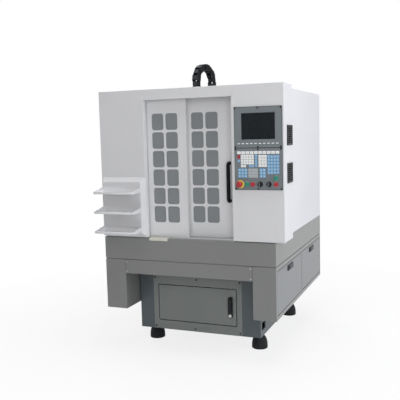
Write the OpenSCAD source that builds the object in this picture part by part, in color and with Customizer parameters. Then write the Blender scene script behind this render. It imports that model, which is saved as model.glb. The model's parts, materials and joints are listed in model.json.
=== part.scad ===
// Enclosed engraving machine with a fixed gantry, a moving table and telescopic front doors.
// Plan places are measured from the left front corner of the base, heights from the floor, in mm.

/* [Base] */
// Width of the base across the front
base_w = 1200; // [1190:1:1210]
// Depth of the base from front to back
base_d = 1368; // [1360:1:1400]
// Height of the base's deck
deck_z = 802; // [798:1:806]
// Height of the seam between the pan and the boxes under it
seam_z = 654; // [652:1:657]
// Underside of the side boxes
box_z = 309; // [300:1:320]
// Width of one side box
box_w = 152; // [144:1:156]
// Lower edge of the front beam
beam_z = 555; // [540:1:570]
// Sheet thickness of pan, boxes and beam
base_t = 3; // [2:0.5:4]
// Height of the shadow gap under the pan
seam_gap = 4; // [2:0.5:6]
// Gap round a flap
flap_gap = 4; // [2:0.5:5]

/* [Pedestal and feet] */
// Width of the pedestal
pedestal_w = 880; // [870:1:884]
// Setback of the pedestal behind the base's front
pedestal_y = 188; // [180:1:196]
// Underside of the pedestal
pedestal_z = 129; // [120:1:133]
// Plate thickness of the pedestal
pedestal_t = 12; // [8:1:14]
// Diameter of a foot pad
foot_d = 109; // [90:1:120]
// Width of the access door
access_w = 566; // [540:1:580]
// Height of the access door
access_h = 247; // [235:1:255]
// Gap round the access door
access_gap = 5; // [3:0.5:6]

/* [Enclosure] */
// Height of the enclosure's walls
wall_top = 1767; // [1766:1:1774]
// Height of the front frame and the control cabinet
front_top = 1775; // [1774:1:1790]
// Underside of the front frame and the control cabinet
front_z = 809; // [807:1:812]
// Depth of the front frame and the control cabinet
front_d = 204; // [198:1:215]
// How far the front stands proud of the base
front_proud = 8; // [4:1:12]
// Sheet thickness of the white panels
sheet = 2.5; // [2:0.5:3]
// Width of the fold round the open roof
rim_w = 30; // [15:1:40]

/* [Doors] */
// Left edge of the door opening
opening_x = 328; // [322:1:334]
// Top of the door opening
opening_top = 1707; // [1700:1:1712]
// Depth of a sliding door
door_d = 28; // [22:1:30]
// Width of one window
window_w = 84; // [60:1:86]
// Height of one window
window_h = 107; // [80:1:112]
// Corner radius of one window
window_r = 17; // [5:1:24]
// Length of the pull handle between its legs
pull_len = 240; // [160:1:300]

/* [Control cabinet] */
// Left side of the control cabinet
cabinet_x = 930; // [929:1:934]
// How far the cabinet reaches past the base on the right
cabinet_out = 60; // [40:1:70]
// Width of the screen and keyboard units
unit_w = 298; // [294:1:304]
// Width of the screen's opening
screen_w = 211; // [180:1:216]
// Height of the screen's opening
screen_h = 159; // [140:1:162]
// Side of the square fan grilles
grille_w = 124; // [118:1:126]

/* [Tool rack] */
// How far the rack's board stands off the front panel
board_d = 43; // [20:1:50]
// Depth of one tray
tray_d = 118; // [80:1:130]
// Width of one tray
tray_w = 286; // [240:1:290]
// Distance between trays
tray_pitch = 129.5; // [100:0.5:132]

/* [Axes] */
// Middle of the machine, where the spindle stands at rest
mid_x = 600; // [590:1:610]
// Height of the table's top
table_top = 964; // [960:1:970]
// Width of the table
table_w = 620; // [560:1:640]
// Depth of the table
table_d = 500; // [460:1:520]
// Diameter of the spindle's body
spindle_d = 100; // [80:1:104]
// Diameter of the tool's shank in the collet
shank_d = 6; // [3:0.5:10]

/* [Drag chain] */
// Bend radius of the drag chain
chain_r = 100; // [92:1:106]
// Height of one link
link_h = 45; // [40:1:46]
// Width of one link
link_w = 45; // [40:1:46]
// Number of links
link_count = 20; // [19:1:21]

/* [Hidden] */
$fn = 48;
eps = 1;

// Colours
white_paint = "#E6E6E8";
base_grey = "#85867F";
plate_grey = "#6A6E6C";
dark_grey = "#454C50";
casting_grey = "#9A9C98";
steel = "#B8BCC0";
black = "#1C2022";

// Reach of the whole machine, from which its centre follows
latch_proud = 4;
grille_proud = 6;
front_y = -front_proud;
back_y = front_y + front_d;
tray_front = front_y - board_d - tray_d;
cabinet_r = base_w + cabinet_out;
middle = [(cabinet_r + grille_proud - latch_proud) / 2, (tray_front + base_d) / 2];

// Pedestal
ped_l = (base_w - pedestal_w) / 2;
ped_r = ped_l + pedestal_w;
foot_x = [ped_l + 31, ped_r - 65];
foot_y = [376, 1209];
plate_t = 3;
plate_x = [266, 914];
plate_z = [134, 507];
access_x = [307, 307 + access_w];
access_z = [197, 197 + access_h];
access_y = [pedestal_y - plate_t, pedestal_y];
lock_x = 833;
lock_z = [266, 378];
lock_r = 16;
lock_h = 11;
lock_shaft = 10;

// Side boxes and their flaps, on the right, mirrored for the left
box_top = seam_z - seam_gap;
seam_in = 6;
beam_gap = 2;
flap_y = [[32, 688], [707, 1338]];
flap_z = [340, 619];
flap_fold = 12;
latch_z = 588;
latch_size = [140, 35];
latch_rim = 4;

// Doors
door_z = [806, 1722];
left_door_x = [300, 606];
right_door_x = [592, 925];
left_door_y = [39, 39 + door_d];
right_door_y = [84, 84 + door_d];
window_pitch = [99, 121.2];
window_rows = 6;
window_low = 906.5;
left_window = 364;
right_window = 624.5;
pane_edge = 14;
hook_z = [900, 1600];
hook_d = 13;
pull_x = 882;
pull_z = 1052;
pull_d = 24;
pull_bend = 16;
pull_reach = 30;

// Control cabinet
unit_x = 951;
unit_y = front_y - 6;
screen_unit_z = [1391, 1636];
screen_x = unit_x + 44;
screen_z = 1441;
key_unit_z = [1135, 1387];
fan_y = front_y + 136;
fan_z = [1229, 1461];
fan_bore = 112;
button_z = 1168;
button_x = [1029, 1067, 1213];
estop_x = 985;
knob_x = [1112, 1167];
on_button_z = 1206;
button_d = 21;
button_cap = 29;
button_hole = 22.5;
collar_h = 3;
knob_shaft = 8;

// Axes
rail_h = 28;
rail_w = 35;
rail_end = 10;
x_rail_x = [150, 1050];
bed_x = [330, 870];
bed_y = [230, 1250];
bed_z = [seam_z + base_t, 840];
y_rail_x = [390, 810];
x_rail_z = [1275, 1475];
x_rail_w = 28;
gantry_x = [120, 1080];
gantry_y = 760;
column_w = 150;
beam_range = [1230, 1530];
screw_d = 20;
screw_gap = 0.1;
nut_gap = 0.6;
x_screw_y = 722;
x_screw_z = 1375;
y_screw_z = 838;
z_screw_d = 16;
z_screw_y = 634;
motor_w = 70;
carriage_w = 240;
carriage_y = [655, 690];
carriage_z = [1215, 1690];
z_rail_x = [mid_x - 65, mid_x + 65];
z_rail_w = 25;
z_rail_d = 25;
head_y = [560, 590];
head_z = [1280, 1640];
head_w = 176;
spindle_y = 500;
spindle_z = [1190, 1480];
nose_z = 1130;
nose_shaft = 30;
clamp_r = 70;
table_y = 330;
table_t = 50;
saddle_t = 30;
slot_count = 5;
slot_w = 14;
slot_wide = 24;

// Drag chain
chain_turn = 12.5;
chain_rear = [533, 722];
chain_reach = [2 * chain_r * sin(chain_turn), 2 * chain_r * cos(chain_turn)];
chain_front = chain_rear - chain_reach;
chain_top = 1981;
chain_cz = chain_top - chain_r - link_h / 2;
arm_z = 1568;
arm_t = 8;
arm_half = 32;
chain_foot = 10;
chain_start = arm_z + chain_foot;
chain_end = head_z[1] + arm_t + chain_foot;
chain_rise = chain_cz - chain_start;
chain_drop = chain_cz - chain_end;
chain_arc = PI * chain_r;
link_pitch = (chain_rise + chain_arc + chain_drop) / link_count;

// Shared shapes

module at_middle() {
  translate([-middle[0], -middle[1], 0]) children();
}

// A block given by its limits on each axis
module block(x, y, z) {
  translate([x[0], y[0], z[0]]) cube([x[1] - x[0], y[1] - y[0], z[1] - z[0]]);
}

module rod_x(x, y, z, d) {
  translate([x[0], y, z]) rotate([0, 90, 0]) cylinder(h = x[1] - x[0], d = d);
}

module rod_y(x, y, z, d) {
  translate([x, y[1], z]) rotate([90, 0, 0]) cylinder(h = y[1] - y[0], d = d);
}

module rod_z(x, y, z, d) {
  translate([x, y, z[0]]) cylinder(h = z[1] - z[0], d = d);
}

// A plate in the front plane with round corners
module round_plate(x, y, z, r) {
  block([x[0] + r, x[1] - r], y, z);
  block(x, y, [z[0] + r, z[1] - r]);
  for (cx = [x[0] + r, x[1] - r]) {
    for (cz = [z[0] + r, z[1] - r]) rod_y(cx, y, cz, 2 * r);
  }
}

// An upright oblong in the front plane
module oblong(x, y, z, r) {
  block([x - r, x + r], y, z);
  for (cz = z) rod_y(x, y, cz, 2 * r);
}

// A profile in the side plane, drawn as [y, z], extruded along X
module side_profile(x, points) {
  translate([x[0], 0, 0]) rotate([90, 0, 90]) linear_extrude(x[1] - x[0]) polygon(points);
}

// A profile in the front plane, drawn as [x, z], extruded along Y
module front_profile(y, points) {
  translate([0, y[1], 0]) rotate([90, 0, 0]) linear_extrude(y[1] - y[0]) polygon(points);
}

// A piece turned about an axis towards the front, drawn as [radius, reach from y]
module turned_y(x, y, z, points) {
  translate([x, y, z]) rotate([90, 0, 0]) rotate_extrude() polygon(points);
}

// Section of a guide rail with its ball grooves, as [across, up]
function rail_section(w, h) =
  let (side = [[w / 2, 0], [w / 2, h * 0.34], [w * 0.34, h * 0.5], [w * 0.34, h * 0.6],
               [w / 2, h * 0.76], [w / 2, h - 2], [w / 2 - 2, h]])
  concat(side, [for (i = [len(side) - 1:-1:0]) [-side[i][0], side[i][1]]]);

// Children drawn on the right side, mirrored when the left side is asked for
module on_side(right) {
  if (right) {
    children();
  } else {
    translate([base_w, 0, 0]) mirror([1, 0, 0]) children();
  }
}

// Base

module feet() {
  pad_r = foot_d / 2;
  edge = 3;
  neck_r = 20;
  rim_h = 20;
  dome_h = 72;
  stud_d = 30;
  nut_d = 52;
  nut_h = 22;
  dome = [for (a = [0:10:90]) [neck_r + (pad_r - neck_r) * cos(a), rim_h + dome_h * sin(a)]];
  color(black) at_middle() for (x = foot_x, y = foot_y) translate([x, y, 0]) {
    rotate_extrude() polygon(concat([[0, 0], [pad_r - edge, 0], [pad_r, edge]], dome, [[0, rim_h + dome_h]]));
    cylinder(h = pedestal_z, d = stud_d);
    translate([0, 0, pedestal_z - nut_h]) cylinder(h = nut_h, d = nut_d, $fn = 6);
  }
}

module pedestal() {
  t = pedestal_t;
  front_hole_x = [300, 880];
  front_hole_z = [178, 470];
  lift_y = [220, 302];
  lift_z = [172, 222];
  color(dark_grey) at_middle() difference() {
    block([ped_l, ped_r], [pedestal_y, base_d], [pedestal_z, seam_z]);
    block([ped_l + t, ped_r - t], [pedestal_y + t, base_d - t], [pedestal_z + t, seam_z - t]);
    block(front_hole_x, [pedestal_y - eps, pedestal_y + t + eps], front_hole_z);
    block([ped_l - eps, ped_r + eps], lift_y, lift_z);
  }
}

module front_plate() {
  gap = access_gap;
  corner_r = 12;
  color(plate_grey) at_middle() difference() {
    block(plate_x, [pedestal_y - plate_t, pedestal_y], plate_z);
    round_plate([access_x[0] - gap, access_x[1] + gap], [pedestal_y - plate_t - eps, pedestal_y + eps],
                [access_z[0] - gap, access_z[1] + gap], corner_r);
  }
}

module access_door() {
  corner_r = 8;
  fold_in = 19;
  fold_d = 13;
  fold_x = [access_x[0] + fold_in, access_x[1] - fold_in];
  fold_z = [access_z[0] + fold_in, access_z[1] - fold_in];
  color(plate_grey) at_middle() {
    round_plate(access_x, access_y, access_z, corner_r);
    difference() {
      block(fold_x, [access_y[1], access_y[1] + fold_d], fold_z);
      block([fold_x[0] + sheet, fold_x[1] - sheet], [access_y[1], access_y[1] + fold_d + eps],
            [fold_z[0] + sheet, fold_z[1] - sheet]);
    }
  }
}

module lock_base() {
  barrel_d = 22;
  barrel_h = 3;
  y = [access_y[0] - lock_h, access_y[0]];
  color(black) at_middle() difference() {
    union() {
      oblong(lock_x, y, lock_z, lock_r);
      rod_y(lock_x, [y[0] - barrel_h, y[0]], lock_z[0], barrel_d);
    }
    rod_y(lock_x, [y[0] - eps, y[1] + eps], lock_z[1], lock_shaft + screw_gap);
  }
}

module lock_lever() {
  lever_t = 10;
  lever_r = 10;
  lever_gap = 0.5;
  lever_low = lock_z[0] + 40;
  y = access_y[0] - lock_h - lever_gap;
  color(black) at_middle() {
    oblong(lock_x, [y - lever_t, y], [lever_low, lock_z[1]], lever_r);
    rod_y(lock_x, [y, access_y[0]], lock_z[1], lock_shaft);
  }
}

// Mounting plate with the axis drives, the spindle's inverter and the power supply
module electrics_panel() {
  x = [330, 850];
  y = 520;
  z = [pedestal_z + pedestal_t, 450];
  ledge = 60;
  margin = [24, 16];
  drive = [62, 140, 160];
  drive_pitch = 84;
  drive_count = 3;
  low_z = 260;
  inverter_x = [616, 716];
  inverter_d = 120;
  supply_x = [734, x[1] - margin[1]];
  supply_d = 60;
  supply_z = 300;
  terminals_d = 46;
  terminals_z = [z[0] + 30, z[0] + 70];
  color(steel) at_middle() {
    block(x, [y, y + sheet], z);
    block(x, [y, y + ledge], [z[0], z[0] + sheet]);
    for (i = [0:drive_count - 1]) {
      left = x[0] + margin[0] + i * drive_pitch;
      block([left, left + drive[0]], [y - drive[1], y], [low_z, low_z + drive[2]]);
    }
    block(inverter_x, [y - inverter_d, y], [low_z, low_z + drive[2]]);
    block(supply_x, [y - supply_d, y], [supply_z, low_z + drive[2]]);
    block([x[0] + margin[0], x[1] - margin[1]], [y - terminals_d, y], terminals_z);
  }
}

// A folded box on the right side with two openings for its flaps, a packing strip and the beam's tab
module side_box() {
  t = base_t;
  x = [base_w - box_w, base_w];
  tab_w = 22;
  tab_in = 6;
  divider_y = (flap_y[0][1] + flap_y[1][0]) / 2;
  bays = [[t, divider_y - t / 2], [divider_y + t / 2, base_d - t]];
  difference() {
    block(x, [0, base_d], [box_z, box_top]);
    for (i = [0, 1]) {
      block([x[0] + t, x[1] - t], bays[i], [box_z + t, box_top - t]);
      block([x[1] - t - eps, x[1] + eps], [flap_y[i][0] - flap_gap, flap_y[i][1] + flap_gap],
            [flap_z[0] - flap_gap, flap_z[1] + flap_gap]);
    }
  }
  block([x[0] + seam_in, x[1] - seam_in], [seam_in, base_d - seam_in], [box_top, seam_z]);
  block([x[0] - tab_w, x[0]], [t, 2 * t], [beam_z + tab_in, box_top - tab_in]);
}

module side_box_left() {
  color(base_grey) at_middle() on_side(false) side_box();
}

module side_box_right() {
  color(base_grey) at_middle() on_side(true) side_box();
}

module front_beam() {
  x = [box_w + beam_gap, base_w - box_w - beam_gap];
  fold_d = 60;
  color(base_grey) at_middle() {
    block(x, [0, base_t], [beam_z, box_top]);
    for (z = [beam_z, box_top - base_t]) block(x, [0, fold_d], [z, z + base_t]);
    block(x, [seam_in, fold_d], [box_top, seam_z]);
  }
}

// Pan that catches chips and coolant, with the deck that carries the enclosure
module base_pan() {
  t = base_t;
  side_deck = 40;
  color(base_grey) at_middle() difference() {
    block([0, base_w], [0, base_d], [seam_z, deck_z]);
    block([t, base_w - t], [t, base_d - t], [seam_z + t, deck_z - t]);
    block([side_deck, base_w - side_deck], [back_y, base_d - side_deck], [deck_z - t - eps, deck_z + eps]);
  }
}

// Drop-down flap on the right side, folded inwards, with the frame of its latch
module flap(y) {
  x = [base_w - base_t, base_w];
  mid_y = (y[0] + y[1]) / 2;
  half = latch_size / 2;
  difference() {
    block([x[0] - flap_fold, x[1]], y, flap_z);
    block([x[0] - flap_fold - eps, x[0]], [y[0] + base_t, y[1] - base_t],
          [flap_z[0] + base_t, flap_z[1] - base_t]);
  }
  difference() {
    block([x[1], x[1] + latch_proud], [mid_y - half[0], mid_y + half[0]],
          [latch_z - half[1], latch_z + half[1]]);
    block([x[1], x[1] + latch_proud + eps], [mid_y - half[0] + latch_rim, mid_y + half[0] - latch_rim],
          [latch_z - half[1] + latch_rim, latch_z + half[1] - latch_rim]);
  }
}

// Paddle that lifts out of the latch frame, with room for a finger before it
module paddle(y) {
  mid_y = (y[0] + y[1]) / 2;
  half = latch_size / 2;
  side_gap = 1;
  end_gap = 2;
  face_gap = 0.4;
  finger_room = 46;
  block([base_w + face_gap, base_w + latch_proud - face_gap],
        [mid_y - half[0] + latch_rim + finger_room, mid_y + half[0] - latch_rim - end_gap],
        [latch_z - half[1] + latch_rim + side_gap, latch_z + half[1] - latch_rim - side_gap]);
}

module flap_left_front() {
  color(base_grey) at_middle() on_side(false) flap(flap_y[0]);
}

module flap_left_rear() {
  color(base_grey) at_middle() on_side(false) flap(flap_y[1]);
}

module flap_right_front() {
  color(base_grey) at_middle() on_side(true) flap(flap_y[0]);
}

module flap_right_rear() {
  color(base_grey) at_middle() on_side(true) flap(flap_y[1]);
}

module paddle_left_front() {
  color(steel) at_middle() on_side(false) paddle(flap_y[0]);
}

module paddle_left_rear() {
  color(steel) at_middle() on_side(false) paddle(flap_y[1]);
}

module paddle_right_front() {
  color(steel) at_middle() on_side(true) paddle(flap_y[0]);
}

module paddle_right_rear() {
  color(steel) at_middle() on_side(true) paddle(flap_y[1]);
}

// Machine inside

module bed() {
  trough_x = [450, 750];
  trough_z = 800;
  end_wall = 20;
  color(casting_grey) at_middle() difference() {
    block(bed_x, bed_y, bed_z);
    block(trough_x, [bed_y[0] + end_wall, bed_y[1] - end_wall], [trough_z, bed_z[1] + eps]);
    rod_y(mid_x, [bed_y[0] - eps, bed_y[1] + eps], y_screw_z, screw_d + screw_gap);
  }
}

// Portal casting with raked columns, and the bearing blocks of the cross screw
module gantry() {
  foot_back = 1060;
  beam_back = 960;
  knee_z = 760;
  gusset = 50;
  bearing_x = [[160, 180], [1020, 1040]];
  bearing_h = 50;
  bearing_over = 22;
  inner_x = [gantry_x[0] + column_w, gantry_x[1] - column_w];
  under = beam_range[0];
  rake = [[gantry_y, bed_z[0]], [foot_back, bed_z[0]], [foot_back, knee_z],
          [beam_back, beam_range[0]], [beam_back, beam_range[1]], [gantry_y, beam_range[1]]];
  color(casting_grey) at_middle() difference() {
    union() {
      side_profile([gantry_x[0], inner_x[0]], rake);
      side_profile([inner_x[1], gantry_x[1]], rake);
      block(gantry_x, [gantry_y, beam_back], beam_range);
      front_profile([gantry_y, beam_back],
                    [[inner_x[0], under - gusset], [inner_x[0] + gusset, under], [inner_x[0], under]]);
      front_profile([gantry_y, beam_back],
                    [[inner_x[1], under - gusset], [inner_x[1], under], [inner_x[1] - gusset, under]]);
      for (x = bearing_x) {
        block(x, [x_screw_y - bearing_over, gantry_y],
              [x_screw_z - bearing_h / 2, x_screw_z + bearing_h / 2]);
      }
    }
    rod_x([bearing_x[0][0] - eps, bearing_x[1][1] + eps], x_screw_y, x_screw_z, screw_d + screw_gap);
  }
}

module guide_rails() {
  color(steel) at_middle() {
    for (x = y_rail_x) {
      front_profile([bed_y[0] + rail_end, bed_y[1] - rail_end],
                    [for (p = rail_section(rail_w, rail_h)) [x + p[0], bed_z[1] + p[1]]]);
    }
    for (z = x_rail_z) {
      side_profile(x_rail_x, [for (p = rail_section(x_rail_w, rail_h)) [gantry_y - p[1], z + p[0]]]);
    }
  }
}

// Servo motor along its own Z axis: flange, square body and round rear cap
module motor(length) {
  flange_t = 10;
  body_in = 3;
  body_w = motor_w - 2 * body_in;
  cap_h = 14;
  cap_d = body_w - 8;
  translate([-motor_w / 2, -motor_w / 2, 0]) cube([motor_w, motor_w, flange_t]);
  translate([-body_w / 2, -body_w / 2, 0]) cube([body_w, body_w, length - cap_h]);
  cylinder(h = length, d = cap_d);
}

module axis_motors() {
  length = 88;
  color(black) at_middle() {
    translate([1040, x_screw_y, x_screw_z]) rotate([0, 90, 0]) motor(length);
    translate([mid_x, bed_y[1], y_screw_z]) rotate([-90, 0, 0]) motor(length);
  }
}

module x_screw() {
  color(steel) at_middle() rod_x([162, 1038], x_screw_y, x_screw_z, screw_d);
}

module y_screw() {
  color(steel) at_middle() rod_y(mid_x, [bed_y[0] + 2, bed_y[1] - 1], y_screw_z, screw_d);
}

module z_screw() {
  color(steel) at_middle() rod_z(mid_x, z_screw_y, [carriage_z[0] + 12, carriage_z[1] - 2], z_screw_d);
}

// Cross carriage: back plate, bearing blocks, nut housing, upright rails and the chain's arm
module x_carriage() {
  block_w = 80;
  block_h = 56;
  block_in = 10;
  block_y = [carriage_y[1], gantry_y - 8];
  nut_half = [40, 30];
  nut_y = [carriage_y[1], gantry_y - 12];
  half = carriage_w / 2;
  slot = x_rail_w / 2 + nut_gap;
  low_bearing = [1225, 1245];
  low_half = 30;
  low_over = 22;
  top_bracket = [1660, carriage_z[1]];
  top_half = 80;
  top_over = 35;
  arm_x = [chain_rear[0] - arm_half, chain_rear[0] + arm_half];
  arm_y = [carriage_y[0], chain_rear[1] + arm_half];
  color(plate_grey) at_middle() difference() {
    union() {
      block([mid_x - half, mid_x + half], carriage_y, carriage_z);
      for (x = [mid_x - half + block_in, mid_x + half - block_in - block_w]) {
        for (z = x_rail_z) block([x, x + block_w], block_y, [z - block_h / 2, z + block_h / 2]);
      }
      block([mid_x - nut_half[0], mid_x + nut_half[0]], nut_y,
            [x_screw_z - nut_half[1], x_screw_z + nut_half[1]]);
      for (x = z_rail_x) {
        translate([x, carriage_y[0], low_bearing[0]]) mirror([0, 1, 0])
          linear_extrude(top_bracket[0] - low_bearing[0]) polygon(rail_section(z_rail_w, z_rail_d));
      }
      block([mid_x - low_half, mid_x + low_half], [z_screw_y - low_over, carriage_y[0]], low_bearing);
      block([mid_x - top_half, mid_x + top_half], [z_screw_y - top_over, carriage_y[0]], top_bracket);
      block(arm_x, arm_y, [arm_z - arm_t, arm_z]);
    }
    for (z = x_rail_z) {
      block([0, base_w], [gantry_y - rail_h - nut_gap, gantry_y + eps], [z - slot, z + slot]);
    }
    rod_x([0, base_w], x_screw_y, x_screw_z, screw_d + nut_gap);
    rod_z(mid_x, z_screw_y, [carriage_z[0], carriage_z[1] + eps], z_screw_d + screw_gap);
  }
}

module z_motor() {
  length = 74;
  color(black) at_middle() translate([mid_x, z_screw_y, carriage_z[1]]) motor(length);
}

// Upright slide that carries the spindle in a split clamp
module z_head() {
  block_h = 70;
  block_half = 26;
  block_y = [head_y[1], carriage_y[0] - 6];
  block_z = [1390, 1560];
  nut_half = 25;
  nut_y = [head_y[1], carriage_y[0] - 5];
  nut_z = [1490, 1530];
  clamp_z = [1290, 1400];
  clamp_cut = [clamp_z[0] - eps, clamp_z[1] + eps];
  ear_half = 24;
  ear_y = spindle_y - clamp_r - 12;
  split = 4;
  arm_x = [chain_front[0] - arm_half, mid_x - head_w / 2 + 2 * arm_half];
  arm_y = [chain_front[1] - arm_half, head_y[1]];
  slot = z_rail_w / 2 + nut_gap;
  color(casting_grey) at_middle() difference() {
    union() {
      block([mid_x - head_w / 2, mid_x + head_w / 2], head_y, head_z);
      for (x = z_rail_x, z = block_z) {
        block([x - block_half, x + block_half], block_y, [z, z + block_h]);
      }
      block([mid_x - nut_half, mid_x + nut_half], nut_y, nut_z);
      block([mid_x - clamp_r, mid_x + clamp_r], [spindle_y, head_y[0]], clamp_z);
      rod_z(mid_x, spindle_y, clamp_z, 2 * clamp_r);
      block([mid_x - ear_half, mid_x + ear_half], [ear_y, spindle_y], clamp_z);
      block(arm_x, arm_y, [head_z[1], head_z[1] + arm_t]);
    }
    for (x = z_rail_x) {
      block([x - slot, x + slot], [carriage_y[0] - z_rail_d - nut_gap, carriage_y[0]],
            [head_z[0] - eps, head_z[1] + eps]);
    }
    rod_z(mid_x, z_screw_y, [nut_z[0] - eps, nut_z[1] + eps], z_screw_d + nut_gap);
    rod_z(mid_x, spindle_y, clamp_cut, spindle_d);
    block([mid_x - split / 2, mid_x + split / 2], [ear_y - eps, spindle_y], clamp_cut);
  }
}

module spindle() {
  cap_h = 16;
  bearing_h = 15;
  shaft_top = 1240;
  color(steel) at_middle() difference() {
    union() {
      rod_z(mid_x, spindle_y, spindle_z, spindle_d);
      rod_z(mid_x, spindle_y, [spindle_z[1], spindle_z[1] + cap_h], spindle_d - 14);
      rod_z(mid_x, spindle_y, [spindle_z[0] - bearing_h, spindle_z[0]], spindle_d - 24);
    }
    rod_z(mid_x, spindle_y, [spindle_z[0] - bearing_h - eps, shaft_top], nose_shaft + screw_gap);
  }
}

// Turning shaft with its collet nut
module spindle_nose() {
  shaft_top = 1238;
  collar = [1158, 1172];
  nut_d = 34;
  bore_l = 26;
  color(steel) at_middle() difference() {
    union() {
      rod_z(mid_x, spindle_y, [collar[0], shaft_top], nose_shaft);
      rod_z(mid_x, spindle_y, collar, nut_d + 14);
      rod_z(mid_x, spindle_y, [nose_z, collar[0]], nut_d);
    }
    rod_z(mid_x, spindle_y, [nose_z - eps, nose_z + bore_l], shank_d);
  }
}

// Slotted table on its saddle, bearing blocks and nut housing
module table() {
  top = [table_top - table_t, table_top];
  saddle_z = [top[0] - saddle_t, top[0]];
  saddle_x = [340, 860];
  saddle_y = [400, 760];
  block_half = 28;
  block_l = 80;
  slot = rail_w / 2 + nut_gap;
  neck_h = 14;
  wide_h = 12;
  first_slot = table_y + 70;
  slot_pitch = (table_d - 140) / (slot_count - 1);
  nut_y = [540, 620];
  color(casting_grey) at_middle() difference() {
    union() {
      block([mid_x - table_w / 2, mid_x + table_w / 2], [table_y, table_y + table_d], top);
      block(saddle_x, saddle_y, saddle_z);
      for (x = y_rail_x, y = [saddle_y[0] + 10, saddle_y[1] - 10 - block_l]) {
        block([x - block_half, x + block_half], [y, y + block_l], [bed_z[1] + 5, saddle_z[0]]);
      }
      block([mid_x - 30, mid_x + 30], nut_y, [y_screw_z - 22, saddle_z[0]]);
    }
    for (i = [0:slot_count - 1]) {
      y = first_slot + i * slot_pitch;
      block([0, base_w], [y - slot_w / 2, y + slot_w / 2], [top[1] - neck_h, top[1] + eps]);
      block([0, base_w], [y - slot_wide / 2, y + slot_wide / 2],
            [top[1] - neck_h - wide_h, top[1] - neck_h]);
    }
    for (x = y_rail_x) {
      block([x - slot, x + slot], saddle_y, [bed_z[1], bed_z[1] + rail_h + nut_gap]);
    }
    rod_y(mid_x, [nut_y[0] - eps, nut_y[1] + eps], y_screw_z, screw_d + nut_gap);
  }
}

// Place and lean of the chain at a distance s from its fixed end, in the arch's plane: [x, z, lean]
function chain_at(s) =
  s < chain_rise ? [0, chain_start + s, 0]
  : s < chain_rise + chain_arc ? chain_bend((s - chain_rise) / chain_r * 180 / PI)
  : [2 * chain_r, chain_cz - (s - chain_rise - chain_arc), 180];

function chain_bend(a) = [chain_r * (1 - cos(a)), chain_cz + chain_r * sin(a), a];

// One link along Z: two side plates, which lie outside or inside those of the next link, and cross bars
module link(outside) {
  plate_t = 3.5;
  layer = plate_t + 0.3;
  lap = 8;
  nip = 10;
  bar_t = 3;
  bar_half = [9, 15];
  half_h = link_h / 2;
  half_l = link_pitch / 2 + lap;
  side_y = link_w / 2 - (outside ? 0 : layer);
  inner_y = side_y - plate_t;
  outline = [[nip - half_h, -half_l], [half_h - nip, -half_l], [half_h, nip - half_l],
             [half_h, half_l - nip], [half_h - nip, half_l], [nip - half_h, half_l],
             [-half_h, half_l - nip], [-half_h, nip - half_l]];
  for (y = [[-side_y, -inner_y], [inner_y, side_y]]) front_profile(y, outline);
  block([half_h - bar_t, half_h], [-inner_y, inner_y], [-bar_half[0], bar_half[0]]);
  block([-half_h, bar_t - half_h], [-inner_y, inner_y], [-bar_half[1], bar_half[1]]);
}

// Hinge pins of two links, with their heads outside the plates
module link_pins() {
  pin_d = 12;
  head_t = 1.2;
  pin_l = 7;
  reach = link_w / 2 + head_t;
  for (y = [[-reach, pin_l - reach], [reach - pin_l, reach]]) rod_y(0, y, 0, pin_d);
}

// Links along the arch, with a bracket at each end that holds the chain to its carrier
module drag_chain() {
  ends = [[0, chain_start], [2 * chain_r, chain_end]];
  half = [link_h / 2, link_w / 2];
  color(black) at_middle() translate(chain_rear) rotate(-90 - chain_turn) {
    for (i = [0:link_count - 1]) {
      p = chain_at((i + 0.5) * link_pitch);
      translate([p[0], 0, p[1]]) rotate([0, p[2], 0]) link(i % 2 == 0);
    }
    for (i = [1:link_count - 1]) {
      p = chain_at(i * link_pitch);
      translate([p[0], 0, p[1]]) link_pins();
    }
    for (end = ends) {
      block([end[0] - half[0], end[0] + half[0]], [-half[1], half[1]], [end[1] - chain_foot, end[1] + eps]);
    }
  }
}

// Enclosure

// Side walls and back wall, folded inwards round the open roof
module enclosure() {
  t = sheet;
  rim = t + rim_w;
  color(white_paint) at_middle() difference() {
    block([0, base_w], [back_y, base_d], [deck_z, wall_top]);
    block([t, base_w - t], [back_y - eps, base_d - t], [deck_z - eps, wall_top - t]);
    block([rim, base_w - rim], [back_y - eps, base_d - rim], [wall_top - t - eps, wall_top + eps]);
  }
}

// Left panel and lintel, folded from one sheet, standing on its side wall
module front_frame() {
  t = sheet;
  fold_d = 38;
  heel_y = front_y + 28;
  color(white_paint) at_middle() difference() {
    block([0, cabinet_x], [front_y, back_y], [deck_z, front_top]);
    block([t, cabinet_x + eps], [front_y + t, back_y + eps], [deck_z - eps, front_top - t]);
    block([opening_x, cabinet_x + eps], [front_y - eps, back_y + eps], [deck_z - eps, opening_top]);
    block([-eps, opening_x + eps], [front_y - eps, heel_y], [deck_z - eps, front_z]);
  }
  color(white_paint) at_middle() {
    block([opening_x - t, opening_x], [front_y, front_y + fold_d], [front_z, opening_top + t]);
    block([opening_x - t, cabinet_x], [front_y, front_y + fold_d], [opening_top, opening_top + t]);
    block([0, opening_x], [front_y, front_y + 28], [front_z, front_z + t]);
  }
}

module control_cabinet() {
  t = sheet;
  margin = 16;
  plinth_x = [cabinet_x + 10, base_w - 10];
  plinth_y = [20, 185];
  color(white_paint) at_middle() difference() {
    union() {
      block([cabinet_x, cabinet_r], [front_y, back_y], [front_z, front_top]);
      block(plinth_x, plinth_y, [deck_z, front_z]);
    }
    block([cabinet_x + t, cabinet_r - t], [front_y + t, back_y + eps], [front_z + t, front_top - t]);
    for (z = [screen_unit_z, key_unit_z]) {
      block([unit_x + margin, unit_x + unit_w - margin], [front_y - eps, front_y + t + eps],
            [z[0] + margin, z[1] - margin]);
    }
    for (z = fan_z) rod_x([cabinet_r - t - eps, cabinet_r + eps], fan_y, z, fan_bore);
  }
}

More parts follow.
